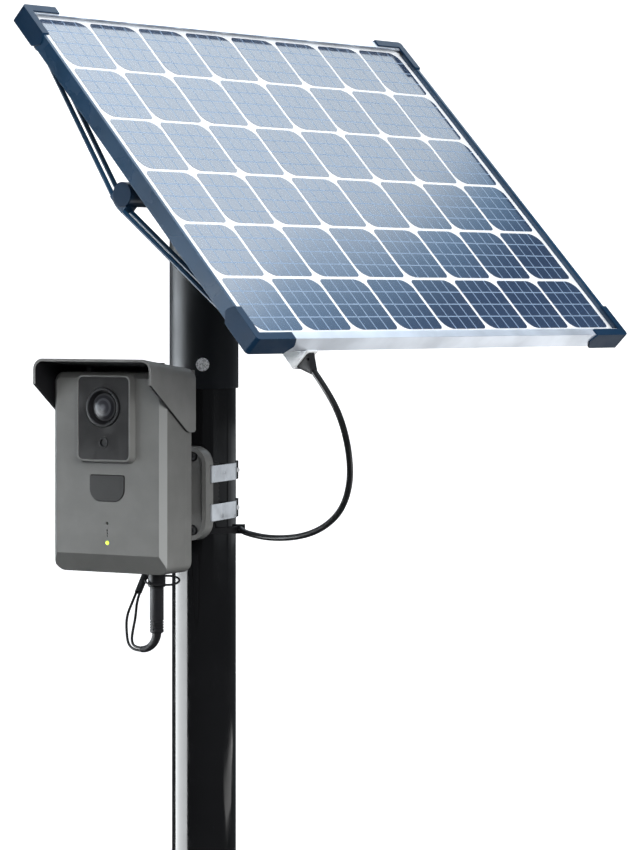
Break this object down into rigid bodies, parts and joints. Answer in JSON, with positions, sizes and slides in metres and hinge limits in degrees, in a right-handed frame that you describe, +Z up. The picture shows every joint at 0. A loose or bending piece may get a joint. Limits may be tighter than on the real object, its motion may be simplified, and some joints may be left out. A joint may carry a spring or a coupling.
{
  "type": "solar-powered security camera",
  "caption": "Pole-mounted security camera with sun hood and pan-tilt knuckle, fed by a framed solar panel that tilts on a cross tube at the top of the pole.",
  "frame": {"origin": "centre of the pole's lower end, at the mouth of its socket", "axes": "+Z up the pole; the camera looks along -Y; +X is to the camera's left as it looks out, and the panel faces roughly +X and up"},
  "size_m": [0.3302, 0.4494, 0.6309],
  "materials": {
    "black_powder_coat": "satin",
    "black_cast": "satin",
    "zinc_steel": "brushed",
    "black_fastener": "satin",
    "bracket_plastic": "fine texture",
    "case_plastic": "fine texture",
    "dark_plastic": "gloss",
    "tinted_window": "gloss",
    "lens_glass": "gloss",
    "circuit_board": "matte",
    "battery_wrap": "gloss",
    "black_rubber": "matte",
    "cable_jacket": "satin",
    "silver_aluminium": "anodised",
    "navy_paint": "satin",
    "navy_plastic": "satin",
    "panel_glass": "gloss",
    "silicon_cells": "gloss",
    "white_backsheet": "matte",
    "white_plastic": "matte",
    "led_pipe": "gloss"
  },
  "bodies": {
    "support": {"pole": "black_powder_coat", "pole_head": "black_cast", "head_cap": "black_rubber", "head_bolt": "zinc_steel", "head_bolt_washer": "zinc_steel", "head_bolt_nut": "zinc_steel", "hub_pinch_bolt": "black_fastener", "pole_saddle": "bracket_plastic", "bracket_plate": "bracket_plastic", "plate_screws": "black_fastener", "clamp_bands": "zinc_steel", "clamp_housings": "black_fastener", "clamp_screws": "zinc_steel", "cable_tie": "black_rubber", "pan_pin": "black_fastener", "panel_cable_upper": "cable_jacket", "panel_cable_lower": "cable_jacket"},
    "pan_arm": {"pan_knuckle": "bracket_plastic", "cable_split": "black_rubber"},
    "camera": {"front_shell": "case_plastic", "rear_shell": "case_plastic", "case_gasket": "black_rubber", "case_screws": "black_fastener", "sun_hood": "case_plastic", "hood_screws": "black_fastener", "lens_bezel": "case_plastic", "lens_window": "tinted_window", "lens_ring": "dark_plastic", "lens_glass": "lens_glass", "lens_barrel": "dark_plastic", "image_sensor_board": "circuit_board", "light_sensor": "dark_plastic", "main_board": "circuit_board", "pir_window": "dark_plastic", "pir_sensor": "zinc_steel", "status_led": "led_pipe", "battery_cells": "battery_wrap", "battery_tray": "dark_plastic", "port_collar": "dark_plastic", "charging_plug": "black_rubber", "tether_loop": "black_rubber", "tilt_pin": "black_fastener", "lead_outer": "cable_jacket", "lead_inner": "cable_jacket"},
    "filter_slide": {"ir_cut_filter": "lens_glass"},
    "panel": {"cross_tube": "navy_paint", "tube_end_caps": "navy_plastic", "panel_glass": "panel_glass", "solar_cells": "silicon_cells", "backsheet": "white_backsheet", "top_rail": "silver_aluminium", "bottom_rail": "silver_aluminium", "left_rail": "navy_paint", "right_rail": "navy_paint", "corner_guards": "navy_plastic", "left_stay": "navy_paint", "right_stay": "navy_paint", "stay_screws": "black_fastener", "junction_box": "white_plastic", "cable_boot": "black_rubber"}
  },
  "joints": [
    {"name": "panel_tilt", "type": "hinge", "parent": "support", "child": "panel", "pos_m": [0.11081, -0.02214, 0.4957], "axis": [0.1959, 0.9806, 0], "range_deg": [-26, 28], "deforming": ["panel_cable_upper"]},
    {"name": "camera_pan", "type": "hinge", "parent": "support", "child": "pan_arm", "pos_m": [0, -0.056, 0.281], "axis": [0, 0, 1], "range_deg": [-45, 45], "deforming": ["panel_cable_lower"]},
    {"name": "camera_tilt", "type": "hinge", "parent": "pan_arm", "child": "camera", "pos_m": [0, -0.08, 0.281], "axis": [1, 0, 0], "range_deg": [-15, 20], "deforming": ["lead_outer", "lead_inner"]},
    {"name": "ir_filter_slide", "type": "slide", "parent": "camera", "child": "filter_slide", "axis": [1, 0, 0], "range_m": [0, 0.0075]}
  ]
}
